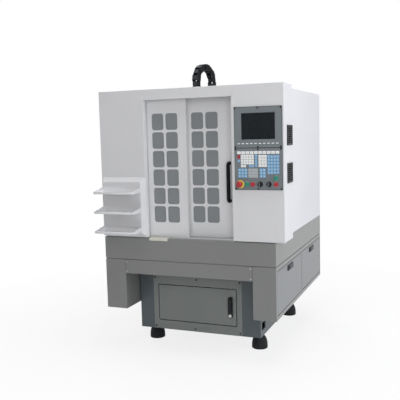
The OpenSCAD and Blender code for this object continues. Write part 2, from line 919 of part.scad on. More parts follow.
module cabinet_cover() {
  t = sheet;
  color(white_paint) at_middle()
    block([cabinet_x + t, cabinet_r - t], [back_y - t, back_y], [front_z + t, front_top - t]);
}

// Louvred grilles; the upper one carries the fan's frame and its motor spider
module fan_grilles() {
  half = grille_w / 2;
  border = 9;
  slats = 9;
  slat_h = 5;
  slat_pitch = (grille_w - 2 * border) / slats;
  frame_half = 60;
  frame_x = [cabinet_r - sheet - 38, cabinet_r - sheet];
  boss_d = 34;
  boss_t = 6;
  arm = [4, 8, fan_bore + 4];
  color(black) at_middle() {
    for (z = fan_z) {
      difference() {
        block([cabinet_r, cabinet_r + grille_proud], [fan_y - half, fan_y + half], [z - half, z + half]);
        for (i = [0:slats - 1]) {
          low = z - half + border + i * slat_pitch;
          block([cabinet_r - eps, cabinet_r + grille_proud + eps],
                [fan_y - half + border, fan_y + half - border], [low + slat_h, low + slat_pitch]);
        }
      }
    }
    difference() {
      block(frame_x, [fan_y - frame_half, fan_y + frame_half],
            [fan_z[1] - frame_half, fan_z[1] + frame_half]);
      rod_x([frame_x[0] - eps, frame_x[1] + eps], fan_y, fan_z[1], fan_bore);
    }
    rod_x([frame_x[0], frame_x[0] + boss_t], fan_y, fan_z[1], boss_d);
    difference() {
      union() {
        for (a = [45, 135]) {
          translate([frame_x[0] + 1, fan_y, fan_z[1]]) rotate([a, 0, 0])
            translate([0, -arm[1] / 2, -arm[2] / 2]) cube(arm);
        }
      }
      rod_x([frame_x[0], frame_x[0] + boss_t], fan_y, fan_z[1], boss_d - 2);
    }
  }
}

module fan_rotor() {
  x = [cabinet_r - sheet - 30, cabinet_r - sheet - 6];
  hub_d = 40;
  blade_r = 53;
  blade_t = 2;
  blade_lean = 38;
  blades = 7;
  color(black) at_middle() {
    rod_x(x, fan_y, fan_z[1], hub_d);
    intersection() {
      union() {
        for (i = [0:blades - 1]) {
          translate([(x[0] + x[1]) / 2, fan_y, fan_z[1]]) rotate([i * 360 / blades, 0, 0])
            rotate([0, 0, blade_lean]) translate([-16, -blade_t / 2, 16]) cube([32, blade_t, blade_r]);
        }
      }
      rod_x(x, fan_y, fan_z[1], 2 * blade_r);
    }
  }
}

module screen_bezel() {
  lip = 3;
  y = [unit_y, front_y];
  color("#6C7274") at_middle() difference() {
    round_plate([unit_x, unit_x + unit_w], y, screen_unit_z, 6);
    block([screen_x, screen_x + screen_w], [y[0] - eps, y[1] + eps], [screen_z, screen_z + screen_h]);
    block([screen_x - lip, screen_x + screen_w + lip], [y[0] - eps, y[0] + lip],
          [screen_z - lip, screen_z + screen_h + lip]);
  }
}

// Display glass with the monitor's housing behind it
module screen() {
  housing_d = 46;
  housing_in = 24;
  color("#1F2428") at_middle() {
    block([screen_x, screen_x + screen_w], [unit_y + 4, front_y], [screen_z, screen_z + screen_h]);
    block([unit_x + housing_in, unit_x + unit_w - housing_in], [front_y, front_y + housing_d],
          [screen_unit_z[0] + housing_in, screen_unit_z[1] - housing_in]);
  }
}

// Keyboard plate with the collars of its buttons and of the stop button
module keyboard_panel() {
  collar_d = 33;
  stop_collar_d = 50;
  y = [unit_y, front_y];
  collar_y = [unit_y - collar_h, unit_y];
  color("#6C7274") at_middle() difference() {
    union() {
      round_plate([unit_x, unit_x + unit_w], y, key_unit_z, 6);
      for (x = button_x) rod_y(x, collar_y, button_z, collar_d);
      rod_y(button_x[2], collar_y, on_button_z, collar_d);
      rod_y(estop_x, collar_y, button_z, stop_collar_d);
    }
    for (x = concat(button_x, [estop_x])) rod_y(x, [collar_y[0] - eps, y[1] + eps], button_z, button_hole);
    rod_y(button_x[2], [collar_y[0] - eps, y[1] + eps], on_button_z, button_hole);
    for (x = knob_x) rod_y(x, [y[0] - eps, y[1] + eps], button_z, knob_shaft + screw_gap);
  }
}

// Grid of key caps: first key's middle, counts, pitches and key size
module key_grid(first, count, pitch, size) {
  cap_t = 2.2;
  for (i = [0:count[0] - 1], j = [0:count[1] - 1]) {
    x = first[0] + i * pitch[0];
    z = first[1] + j * pitch[1];
    block([x - size[0] / 2, x + size[0] / 2], [unit_y - cap_t, unit_y], [z - size[1] / 2, z + size[1] / 2]);
  }
}

module white_keys() {
  color("#ECECEA") at_middle() {
    key_grid([979, 1361], [10, 1], [26.9, 20], [23, 17]);
    key_grid([998, 1296], [5, 4], [16.9, 15.4], [15.3, 13.6]);
    key_grid([998, 1279], [2, 1], [16.9, 15.4], [15.3, 14]);
    key_grid([1111, 1282], [3, 4], [17.8, 18.6], [16, 16.6]);
    key_grid([979, 1416], [10, 1], [26.9, 20], [15, 5]);
  }
}

module blue_keys() {
  color("#86BCE4") at_middle() {
    key_grid([1088, 1281], [1, 5], [17, 15.3], [15, 13.6]);
    key_grid([1049, 1279], [2, 1], [16.9, 15.4], [15.3, 14]);
    key_grid([978, 1311], [1, 1], [17, 14], [15, 15]);
    key_grid([1167, 1239], [4, 6], [18.7, 19.4], [16.9, 17.2]);
    key_grid([981, 1217], [3, 3], [20.2, 19], [18.4, 17]);
    key_grid([1118, 1217], [2, 3], [19.6, 19], [17.8, 17]);
  }
}

// Grey mode keys and the red reset key
module grey_keys() {
  color("#A8ACB0") at_middle() {
    key_grid([1047, 1217], [3, 3], [20.2, 19], [18.4, 17]);
    key_grid([978, 1336], [1, 1], [17, 14], [18, 20]);
  }
}

module estop_head() {
  stem_r = 9;
  stem_back = unit_y - front_y - 12;
  head_h = [16, 38.5];
  head_r = 20;
  crown = [[stem_r, head_h[0]], [head_r - 2, head_h[0]], [head_r, head_h[0] + 2.5], [head_r, head_h[1] - 10],
           [head_r - 2.5, head_h[1] - 4], [head_r - 8, head_h[1] - 1], [0, head_h[1]]];
  color("#B02030") at_middle()
    turned_y(estop_x, unit_y, button_z, concat([[0, stem_back], [stem_r, stem_back]], crown));
}

// Push button: a stem through its collar and a wider cap
module button(x, z) {
  stem_r = button_d / 2;
  cap_r = button_cap / 2;
  stem_back = unit_y - front_y - 10;
  cap_h = [8, 13.5];
  edge = 1.5;
  turned_y(x, unit_y, z, [[0, stem_back], [stem_r, stem_back], [stem_r, cap_h[0]], [cap_r, cap_h[0]],
                          [cap_r, cap_h[1] - edge], [cap_r - edge, cap_h[1]], [0, cap_h[1]]]);
}

module start_button() {
  color("#1F8070") at_middle() button(button_x[0], button_z);
}

module stop_button() {
  color("#C23040") at_middle() button(button_x[1], button_z);
}

module on_button() {
  color("#1F8070") at_middle() button(button_x[2], on_button_z);
}

module off_button() {
  color("#C23040") at_middle() button(button_x[2], button_z);
}

// Rotary knob with a fluted grip and a pointer ridge
module knob(x) {
  skirt = [unit_y - 7, unit_y - 0.5];
  skirt_d = 32;
  body = [unit_y - 20, unit_y - 7];
  body_d = 26;
  flutes = 12;
  flute_d = 4;
  ridge = [3, 3];
  ridge_z = [button_z - 11, button_z + 14];
  difference() {
    rod_y(x, body, button_z, body_d);
    for (i = [0:flutes - 1]) {
      a = (i + 0.5) * 360 / flutes;
      rod_y(x + body_d / 2 * cos(a), [body[0] - eps, body[1]], button_z + body_d / 2 * sin(a), flute_d);
    }
  }
  rod_y(x, skirt, button_z, skirt_d);
  block([x - ridge[0], x + ridge[0]], [body[0] - ridge[1], body[1]], ridge_z);
  rod_y(x, [skirt[1], front_y + 10], button_z, knob_shaft);
}

module feed_knob() {
  color(black) at_middle() knob(knob_x[0]);
}

module speed_knob() {
  color(black) at_middle() knob(knob_x[1]);
}

// Doors

// A folded door pan with two columns of windows, open at the back
module door_pan(x, y, first_window) {
  t = sheet;
  difference() {
    block(x, y, door_z);
    block([x[0] + t, x[1] - t], [y[0] + t, y[1] + eps], [door_z[0] + t, door_z[1] - t]);
    for (i = [0, 1], j = [0:window_rows - 1]) {
      left = first_window + i * window_pitch[0];
      low = window_low + j * window_pitch[1];
      round_plate([left, left + window_w], [y[0] - eps, y[0] + t + eps], [low, low + window_h], window_r);
    }
  }
}

// Window pane that lies behind a door's front sheet
module pane(y, first_window) {
  pane_t = 3;
  x = [first_window - pane_edge, first_window + window_pitch[0] + window_w + pane_edge];
  z = [window_low - pane_edge, window_low + (window_rows - 1) * window_pitch[1] + window_h + pane_edge];
  block(x, [y[0] + sheet, y[0] + sheet + pane_t], z);
}

module left_door() {
  hook_x = [left_door_x[1] - sheet, left_door_x[1]];
  color(white_paint) at_middle() {
    door_pan(left_door_x, left_door_y, left_window);
    block(hook_x, [left_door_y[1], left_door_y[1] + hook_d], hook_z);
  }
}

module left_pane() {
  color("#75797B") at_middle() pane(left_door_y, left_window);
}

module right_door() {
  hook_x = [right_door_x[0], right_door_x[0] + sheet];
  color(white_paint) at_middle() {
    door_pan(right_door_x, right_door_y, right_window);
    block(hook_x, [right_door_y[0] - hook_d - 2, right_door_y[0]], hook_z);
  }
}

module right_pane() {
  color("#75797B") at_middle() pane(right_door_y, right_window);
}

// Round bar with two bent legs
module pull_handle() {
  y = right_door_y[0];
  bar_y = y - pull_reach;
  z = [pull_z, pull_z + pull_len];
  color(black) at_middle() {
    rod_z(pull_x, bar_y, [z[0] + pull_bend, z[1] - pull_bend], pull_d);
    for (end = [0, 1]) {
      rod_y(pull_x, [bar_y + pull_bend, y], z[end], pull_d);
      translate([pull_x, bar_y + pull_bend, z[end] + (end == 0 ? pull_bend : -pull_bend)])
        rotate([0, 90, 0]) rotate([0, 0, end == 0 ? 270 : 180])
          rotate_extrude(angle = 90) translate([pull_bend, 0]) circle(d = pull_d);
    }
  }
}

// Ribbed tracks under and over the doors, and the guide plate at the front of the sill
module door_rails() {
  x = [sheet + 1, cabinet_x];
  y = [front_y + 38, 125];
  t = sheet;
  sill_top = 814;
  head = [1716, 1732];
  ribs = [[y[0], y[0] + t], [74, 78], [y[1] - t, y[1]]];
  guide_x = [338, 470];
  guide_z = [788, 806];
  color(steel) at_middle() {
    block(x, y, [deck_z, deck_z + t]);
    block(x, y, [head[1] - t, head[1]]);
    for (rib = ribs) {
      block(x, rib, [deck_z, sill_top]);
      block(x, rib, head);
    }
  }
  color("#D8D6CC") at_middle() {
    block(guide_x, [-t, 0], guide_z);
    block(guide_x, [-t, y[0]], [deck_z, deck_z + t]);
  }
}

// Tool rack

// Board with bevelled edges all round
module rack_board() {
  foot_x = [8, 333];
  foot_z = [815, 1208];
  bevel = [22, 28];
  y = [front_y - board_d, front_y];
  plan = [[foot_x[0], y[1]], [foot_x[1], y[1]], [foot_x[1] - bevel[0], y[0]], [foot_x[0] + bevel[0], y[0]]];
  side = [[y[1], foot_z[0]], [y[1], foot_z[1]], [y[0], foot_z[1] - bevel[1]], [y[0], foot_z[0] + bevel[1]]];
  color(white_paint) at_middle() intersection() {
    translate([0, 0, foot_z[0]]) linear_extrude(foot_z[1] - foot_z[0]) polygon(plan);
    side_profile(foot_x, side);
  }
}

// Three folded trays with raked ends
module rack_trays() {
  t = sheet;
  x = [27, 27 + tray_w];
  y = [tray_front, front_y - board_d];
  low_z = 849;
  lip = 16;
  back = 36;
  color(white_paint) at_middle() for (i = [0:2]) {
    z = low_z + i * tray_pitch;
    raked = [[y[0], z], [y[1], z], [y[1], z + back], [y[0], z + lip]];
    block(x, y, [z, z + t]);
    block(x, [y[0], y[0] + t], [z, z + lip]);
    block(x, [y[1] - t, y[1]], [z, z + back]);
    side_profile([x[0], x[0] + t], raked);
    side_profile([x[1] - t, x[1]], raked);
  }
}

feet();
pedestal();
front_plate();
access_door();
lock_base();
lock_lever();
electrics_panel();
side_box_left();
side_box_right();
front_beam();
base_pan();
flap_left_front();
flap_left_rear();
flap_right_front();
flap_right_rear();
paddle_left_front();
paddle_left_rear();
paddle_right_front();
paddle_right_rear();
bed();
gantry();
guide_rails();
axis_motors();
x_screw();
y_screw();
z_screw();
x_carriage();
z_motor();
z_head();
spindle();
spindle_nose();
table();
drag_chain();
enclosure();
front_frame();
control_cabinet();
cabinet_cover();
fan_grilles();
fan_rotor();
screen_bezel();
screen();
keyboard_panel();
white_keys();
blue_keys();
grey_keys();
estop_head();
start_button();
stop_button();
on_button();
off_button();
feed_knob();
speed_knob();
left_door();
left_pane();
right_door();
right_pane();
pull_handle();
door_rails();
rack_board();
rack_trays();
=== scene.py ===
import json
import math

import bmesh
import bpy
from mathutils import Matrix, Vector

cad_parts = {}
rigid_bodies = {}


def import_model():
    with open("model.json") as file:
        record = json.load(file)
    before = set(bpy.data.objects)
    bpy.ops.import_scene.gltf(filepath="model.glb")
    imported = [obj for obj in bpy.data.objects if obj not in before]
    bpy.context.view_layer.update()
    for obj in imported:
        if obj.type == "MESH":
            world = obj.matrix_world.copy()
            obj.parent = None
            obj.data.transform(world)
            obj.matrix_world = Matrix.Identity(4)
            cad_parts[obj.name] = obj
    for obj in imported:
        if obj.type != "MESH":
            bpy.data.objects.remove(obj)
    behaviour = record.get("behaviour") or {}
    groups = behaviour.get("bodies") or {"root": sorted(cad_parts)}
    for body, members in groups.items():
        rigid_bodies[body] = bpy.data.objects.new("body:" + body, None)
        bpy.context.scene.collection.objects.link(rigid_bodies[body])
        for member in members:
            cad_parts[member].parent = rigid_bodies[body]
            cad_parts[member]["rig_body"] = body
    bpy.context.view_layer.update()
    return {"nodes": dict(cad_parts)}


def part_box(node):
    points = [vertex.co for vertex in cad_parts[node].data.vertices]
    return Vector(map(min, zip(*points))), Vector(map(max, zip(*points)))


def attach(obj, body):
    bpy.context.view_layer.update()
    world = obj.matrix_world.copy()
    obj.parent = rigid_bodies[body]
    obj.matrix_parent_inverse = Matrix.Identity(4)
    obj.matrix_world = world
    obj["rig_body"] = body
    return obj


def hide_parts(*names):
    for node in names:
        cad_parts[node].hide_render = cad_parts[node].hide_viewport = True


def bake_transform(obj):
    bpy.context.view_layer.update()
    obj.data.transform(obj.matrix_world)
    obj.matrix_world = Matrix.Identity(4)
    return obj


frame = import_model()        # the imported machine, which stays as it is
scene = bpy.context.scene
mm = 0.001
nodes = frame["nodes"]
finished = {}            # the finished piece of each node
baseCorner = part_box("base_pan")[0]
print("frame loaded with", len(nodes), "nodes")


# Hand tools

everywhere = (-9e3, 9e3)      # mm, past the machine on both sides
flatOn = 0.9                  # cosine, from which a face counts as facing along an axis


def freshSelection(*pieces):
    if bpy.context.mode != "OBJECT":
        bpy.ops.object.mode_set(mode="OBJECT")
    bpy.ops.object.select_all(action="DESELECT")
    for piece in pieces:
        piece.select_set(True)
    if pieces:
        bpy.context.view_layer.objects.active = pieces[0]


def spot(x, y, z):
    # a place on the machine, in mm from the base's left front corner and from the floor
    return Vector((baseCorner.x + x * mm, baseCorner.y + y * mm, z * mm))


def openMesh(piece, kind="FACE"):
    # edit mode with nothing selected
    freshSelection(piece)
    bpy.ops.object.mode_set(mode="EDIT")
    bpy.ops.mesh.select_mode(type=kind)
    bpy.ops.mesh.select_all(action="DESELECT")
    return bmesh.from_edit_mesh(piece.data)


def pickFaces(piece, wanted):
    # leaves the piece in edit mode with the wanted faces selected
    shape = openMesh(piece)
    for face in shape.faces:
        if wanted(face):
            face.select_set(True)
    bmesh.update_edit_mesh(piece.data)


def pickBox(piece, x=everywhere, y=everywhere, z=everywhere):
    # the faces that lie wholly inside a box on the machine
    low, high = (spot(*corner) for corner in zip(x, y, z))

    def inside(corner):
        return all(low[i] <= corner.co[i] <= high[i] for i in range(3))

    pickFaces(piece, lambda face: all(inside(corner) for corner in face.verts))


def faceOutwards():
    bpy.ops.mesh.select_all(action="SELECT")
    bpy.ops.mesh.normals_make_consistent(inside=False)


def applyPlace():
    bpy.ops.object.transform_apply(location=True, rotation=True, scale=True)


def applyModifier(piece, kind, settings):
    bpy.ops.object.modifier_add(type=kind)
    modifier = piece.modifiers[-1]
    for name, value in settings.items():
        setattr(modifier, name, value)
    bpy.ops.object.modifier_apply(modifier=modifier.name)


rounding = {
    "sharpAngle": 28,         # degrees, from which an edge counts as sharp
    "room": 2.2,              # radii, the least length of an edge beside a rounded one
    "merge": 0.005,           # mm, corners this close become one
    "sliver": 0.002,          # mm, faces this thin are taken out
}


def faceWidth(face):
    return 2 * face.calc_area() / max(face.calc_perimeter(), 1e-9)


def roundEdges(piece, radius, segments, narrowest, sharpAngle=rounding["sharpAngle"]):
    # bevels the sharp edges whose two faces are both wider than narrowest
    shape = openMesh(piece, "EDGE")
    picked = set()
    for edge in shape.edges:
        if len(edge.link_faces) == 2 and edge.calc_face_angle() > math.radians(sharpAngle):
            if min(faceWidth(face) for face in edge.link_faces) > narrowest:
                picked.add(edge)
    # one short neighbour would shrink every radius, so the edges beside it stay sharp
    shortest = rounding["room"] * radius
    crowded = picked
    while crowded:
        crowded = [edge for edge in picked for end in edge.verts for near in end.link_edges
                   if near not in picked and near.calc_length() < shortest]
        picked.difference_update(crowded)
    for edge in picked:
        edge.select_set(True)
    bmesh.update_edit_mesh(piece.data)
    bpy.ops.mesh.bevel(offset=radius, segments=segments, affect="EDGES", clamp_overlap=True)
    bpy.ops.mesh.select_all(action="SELECT")
    bpy.ops.mesh.remove_doubles(threshold=rounding["merge"] * mm)
    bpy.ops.mesh.dissolve_degenerate(threshold=rounding["sliver"] * mm)
    bpy.ops.object.mode_set(mode="OBJECT")


def smoothPiece(piece, angle=40):
    freshSelection(piece)
    bpy.ops.object.shade_smooth_by_angle(angle=math.radians(angle))
    applyModifier(piece, "WEIGHTED_NORMAL", {"keep_sharp": True})


def dress(piece, look):
    piece.data.materials.clear()
    piece.data.materials.append(look)


def paintPicked(piece, look):
    # a second finish on the faces that are selected
    if look.name not in piece.data.materials:
        piece.data.materials.append(look)
    piece.active_material_index = piece.data.materials.find(look.name)
    bpy.ops.object.material_slot_assign()
    bpy.ops.object.mode_set(mode="OBJECT")


def paintBox(nodeName, look, **limits):
    pickBox(finished[nodeName], **limits)
    paintPicked(finished[nodeName], look)


solidWork = {
    "weld": 0.02,             # mm, corners of a solid's loose triangles that are one
    "level": 0.4,             # degrees, triangles this flat become one face
    "foldSegments": 3,
    "cutSegments": 2,
    "cutRoom": 2,             # radii, narrower faces keep a sharp edge
}


def finishNode(nodeName, look, foldRadius=0.0, cutRadius=0.0, foldWidth=9.0):
    # a copy of a solid with its folds and cut edges rounded, which stands for it
    piece = bpy.data.objects.new(nodeName + "_finished", nodes[nodeName].data.copy())
    scene.collection.objects.link(piece)
    dress(piece, look)
    freshSelection(piece)
    bpy.ops.object.mode_set(mode="EDIT")
    bpy.ops.mesh.select_all(action="SELECT")
    bpy.ops.mesh.remove_doubles(threshold=solidWork["weld"] * mm)
    bpy.ops.mesh.dissolve_limited(angle_limit=math.radians(solidWork["level"]))
    bpy.ops.object.mode_set(mode="OBJECT")
    if foldRadius:
        roundEdges(piece, foldRadius * mm, solidWork["foldSegments"], foldWidth * mm)
    if cutRadius:
        roundEdges(piece, cutRadius * mm, solidWork["cutSegments"], cutRadius * mm * solidWork["cutRoom"])
    smoothPiece(piece)
    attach(piece, nodes[nodeName]["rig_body"])
    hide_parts(nodeName)
    finished[nodeName] = piece
    return piece


# Finishes

def linear(hexColour):
    channels = [int(hexColour[i:i + 2], 16) / 255 for i in (1, 3, 5)]
    return tuple(c / 12.92 if c <= 0.04045 else ((c + 0.055) / 1.055) ** 2.4 for c in channels) + (1.0,)


def addNode(tree, kind, settings=None, links=None):
    # a colour mix takes its two colours at inputs 6 and 7 and gives the result at output 2
    node = tree.nodes.new("ShaderNode" + kind)
    for name, value in (settings or {}).items():
        if isinstance(name, int) or name in node.inputs:
            node.inputs[name].default_value = value
        else:
            setattr(node, name, value)
    for name, source in (links or {}).items():
        tree.links.new(source, node.inputs[name])
    return node


def newLook(name, shaderSettings):
    look = bpy.data.materials.new(name)
    look.use_nodes = True
    tree = look.node_tree
    tree.nodes.clear()
    shader = addNode(tree, "BsdfPrincipled", shaderSettings)
    addNode(tree, "OutputMaterial", links={"Surface": shader.outputs[0]})
    place = addNode(tree, "TexCoord").outputs["Object"]
    return look, tree, shader, place


def joinSkin(tree, skin, tone, gloss, relief):
    tree.links.new(tone.outputs[2], skin.inputs["Base Color"])
    tree.links.new(gloss.outputs[0], skin.inputs["Roughness"])
    tree.links.new(relief.outputs[0], skin.inputs["Normal"])


coatTexture = {
    "gloss": 0.06,            # roughness that the grain adds and takes away
    "depth": 0.1,             # relief, as a share of the grain
}


def coated(name, shade, tint, roughness, cloud, grain, bump, shader=None):
    # a coat with slow drifts of tone over cloud mm and a relief of grain mm
    look, tree, skin, place = newLook(name, shader or {"IOR": 1.5})
    drift = addNode(tree, "TexNoise", {"Scale": 1 / (cloud * mm), "Detail": 3.0}, {"Vector": place})
    tone = addNode(tree, "Mix", {"data_type": "RGBA", 6: linear(shade), 7: linear(tint)},
                   {0: drift.outputs[0]})
    peel = addNode(tree, "TexNoise", {"Scale": 1 / (grain * mm), "Detail": 2.0}, {"Vector": place})
    spread = coatTexture["gloss"]
    gloss = addNode(tree, "MapRange", {"To Min": roughness - spread, "To Max": roughness + spread},
                    {"Value": peel.outputs[0]})
    relief = addNode(tree, "Bump", {"Strength": bump, "Distance": coatTexture["depth"] * grain * mm},
                     {"Height": peel.outputs[0]})
    joinSkin(tree, skin, tone, gloss, relief)
    return look


metalTexture = {
    "gloss": (0.08, 0.1),     # roughness that the lines take away and add
    "depth": 0.1,             # relief, as a share of a line's width
    "length": 40,             # a line is this many times as long as wide
}


def drawnMetal(name, shade, tint, roughness, scratch, along, bump):
    # bare metal with fine lines of scratch mm that run along one axis
    look, tree, skin, place = newLook(name, {"Metallic": 1.0})
    stretch = [1 / (scratch * mm)] * 3
    stretch["XYZ".index(along)] = 1 / (metalTexture["length"] * scratch * mm)
    turned = addNode(tree, "Mapping", {"Scale": stretch}, {"Vector": place})
    lines = addNode(tree, "TexNoise", {"Scale": 1.0, "Detail": 3.0}, {"Vector": turned.outputs[0]})
    tone = addNode(tree, "Mix", {"data_type": "RGBA", 6: linear(shade), 7: linear(tint)},
                   {0: lines.outputs[0]})
    below, above = metalTexture["gloss"]
    gloss = addNode(tree, "MapRange", {"To Min": roughness - below, "To Max": roughness + above},
                    {"Value": lines.outputs[0]})
    relief = addNode(tree, "Bump", {"Strength": bump, "Distance": metalTexture["depth"] * scratch * mm},
                     {"Height": lines.outputs[0]})
    joinSkin(tree, skin, tone, gloss, relief)
    return look


# After the two tones come the roughness, the cloud and the grain in mm, and the strength of the relief.
satin = {"IOR": 1.5, "Specular IOR Level": 0.65}
halfDull = {"IOR": 1.5, "Specular IOR Level": 0.4}
dull = {"IOR": 1.5, "Specular IOR Level": 0.2}
faint = {"IOR": 1.5, "Specular IOR Level": 0.1}
sooty = {"IOR": 1.5, "Specular IOR Level": 0.05}

# polyester powder coat on steel sheet: satin, with a faint orange peel, drawn coarser than its 1 mm to show
whiteCoat = coated("whitePowderCoat", "#DDDDE0", "#E5E5E7", 0.42, 420, 3.0, 0.06)
greyCoat = coated("greyPowderCoat", "#797A79", "#818281", 0.34, 380, 3.0, 0.10, satin)
flapCoat = coated("greyFlapCoat", "#707376", "#787B7E", 0.34, 380, 3.0, 0.10, satin)
slateCoat = coated("slatePowderCoat", "#757A79", "#7D817F", 0.42, 300, 3.0, 0.10)
# thick machine enamel on welded plate: darker, bluish, with brush and spray texture
darkEnamel = coated("darkMachineEnamel", "#485156", "#525A5F", 0.45, 260, 5.0, 0.16)
# grey iron casting under filler and paint: soft lumps of the sand mould
castPaint = coated("paintedCastIron", "#8E918E", "#999C98", 0.5, 120, 7.0, 0.3)
# bezel paint: fine leather texture that kills glare
bezelCoat = coated("bezelEnamel", "#72797D", "#798083", 0.5, 200, 1.6, 0.2)
# nylon, moulded, with a spark-eroded grain; the chain's cross bars are glossier and get a lighter bluish
# tone, a painted reflection of the bright surroundings
chainNylon = coated("chainNylon", "#0C0E12", "#14171C", 0.4, 60, 1.2, 0.2, faint)
barNylonPaintedSheen = coated("barNylonPaintedSheen", "#20222C", "#292C37", 0.32, 60, 1.2, 0.2, halfDull)
handleNylon = coated("handleNylon", "#0B0D0F", "#121517", 0.45, 60, 1.2, 0.2, faint)
blackNylon = coated("blackNylon", "#1A1D1F", "#222528", 0.45, 60, 1.2, 0.2, dull)
creamNylon = coated("creamNylon", "#D6D4C9", "#DEDCD2", 0.5, 40, 1.5, 0.1)
# rubber, pressed: matt and slightly grainy; the same near-black finish is painted shade on the strip behind
# the gaps round the control units
blackRubberAndGapShade = coated("blackRubberAndGapShade", "#242628", "#2D2F31", 0.7, 40, 2.0, 0.25, dull)
# black oxide on socket screws: a dark bloom over steel
blackOxide = coated("blackOxideSteel", "#16181A", "#202326", 0.38, 20, 0.8, 0.1, {"Metallic": 0.6})
# keypad caps: printed polycarbonate, even and half matt
whiteKeys = coated("whiteKeycaps", "#FCFCFD", "#FEFEFE", 0.45, 30, 1.0, 0.05)
blueKeys = coated("blueKeycaps", "#7FB3DE", "#8CBBE2", 0.45, 30, 1.0, 0.05)
greyKeys = coated("greyKeycaps", "#BDC1C4", "#C6CACD", 0.45, 30, 1.0, 0.05)
# ABS of buttons and collar, moulded in polished tools: shiny, with hardly any grain
redPlastic = coated("redPlastic", "#A91D2A", "#B32532", 0.32, 25, 1.0, 0.03)
greenPlastic = coated("greenPlastic", "#1C7F69", "#248A72", 0.32, 25, 1.0, 0.03)
yellowPlastic = coated("yellowPlastic", "#FFE850", "#FFEC62", 0.4, 25, 1.0, 0.03)
# ink of the keys' printed fields, left blank: flat and matt
greyPrint = coated("greyKeyPrint", "#DADDE1", "#E2E5E8", 0.5, 30, 1.0, 0.05)
paleBluePrint = coated("paleBlueKeyPrint", "#B4D6EE", "#BEDCF1", 0.5, 30, 1.0, 0.05)
slatePrint = coated("slateKeyPrint", "#868B90", "#8E9398", 0.5, 30, 1.0, 0.05)
# open-cell near-black foam that swallows light, set behind the grille slots as painted shade for the dark
# inside of the cabinet
paintedSlotShade = coated("paintedSlotShade", "#0D0E0F", "#151617", 0.9, 8, 1.5, 0.5, sooty)
# ground, plated and milled metal, with the lines that the tool leaves
groundSteel = drawnMetal("groundSteel", "#A9ACAE", "#C2C5C7", 0.28, 0.8, "X", 0.12)
zincSteel = drawnMetal("zincPlatedSteel", "#A8ABAA", "#BFC2C1", 0.36, 2.0, "Z", 0.10)
ironFace = drawnMetal("milledIronFace", "#8D9193", "#A3A7A8", 0.34, 1.5, "Y", 0.2)
darkZinc = drawnMetal("blackenedZinc", "#3E4245", "#4C5053", 0.42, 2.0, "Z", 0.10)

paneLook = {"tones": ("#868B8E", "#8E9294"), "cloud": 300}       # cloud in mm


def smokedAcrylic():
    # smoked acrylic sheet, frosted behind: a flat grey that only hints at what is inside
    look, tree, skin, place = newLook("smokedAcrylic", {
        "IOR": 1.49, "Roughness": 0.28, "Transmission Weight": 0.12})
    shade, tint = (linear(colour) for colour in paneLook["tones"])
    scale = 1 / (paneLook["cloud"] * mm)
    drift = addNode(tree, "TexNoise", {"Scale": scale, "Detail": 2.0}, {"Vector": place})
    tone = addNode(tree, "Mix", {"data_type": "RGBA", 6: shade, 7: tint}, {0: drift.outputs[0]})
    tree.links.new(tone.outputs[2], skin.inputs["Base Color"])
    return look


screenLook = {"tones": ("#171B1F", "#1E2327"), "cloud": 90, "etch": (0.22, 0.32)}      # etch as roughness


def displayGlass():
    # unlit panel under anti-glare glass: near black with a soft reflection
    look, tree, skin, place = newLook("displayGlass", {"IOR": 1.5, "Specular IOR Level": 0.12})
    shade, tint = (linear(colour) for colour in screenLook["tones"])
    smooth, rough = screenLook["etch"]
    scale = 1 / (screenLook["cloud"] * mm)
    haze = addNode(tree, "TexNoise", {"Scale": scale, "Detail": 1.0}, {"Vector": place})
    tone = addNode(tree, "Mix", {"data_type": "RGBA", 6: shade, 7: tint}, {0: haze.outputs[0]})
    etch = addNode(tree, "MapRange", {"To Min": smooth, "To Max": rough}, {"Value": haze.outputs[0]})
    tree.links.new(tone.outputs[2], skin.inputs["Base Color"])
    tree.links.new(etch.outputs[0], skin.inputs["Roughness"])
    return look


acrylic = smokedAcrylic()
glass = displayGlass()
print("finishes made:", len(bpy.data.materials))


# Sheet panels, castings and small solids, with their edges rounded

sheetWork = {
    "foldRadius": 2.0,        # mm, outside of a bend
    "cutRadius": 0.6,         # mm, deburred cut edge
    "white": ["enclosure", "front_frame", "control_cabinet", "cabinet_cover", "left_door", "right_door",
              "rack_board", "rack_trays"],
    "grey": ["base_pan", "front_beam", "side_box_left", "side_box_right"],
    "flaps": ["flap_left_front", "flap_left_rear", "flap_right_front", "flap_right_rear"],
    "slate": ["front_plate", "access_door"],
}
for look, group in ((whiteCoat, "white"), (greyCoat, "grey"), (flapCoat, "flaps"), (slateCoat, "slate")):
    for nodeName in sheetWork[group]:
        finishNode(nodeName, look, sheetWork["foldRadius"], sheetWork["cutRadius"])
print("sheet panels done")

plateWork = {"foldRadius": 2.5, "cutRadius": 1.0}
finishNode("pedestal", darkEnamel, plateWork["foldRadius"], plateWork["cutRadius"])

castings = {
    "foldRadius": 4.0,        # mm, moulded edge between two broad faces
    "foldWidth": 14.0,        # mm, from which a face counts as broad
    "cutRadius": 1.2,         # mm, machined edge
    "names": ["bed", "gantry", "x_carriage", "z_head", "table"],
}
for nodeName in castings["names"]:
    finishNode(nodeName, castPaint, castings["foldRadius"], castings["cutRadius"], castings["foldWidth"])
print("pedestal and castings done")

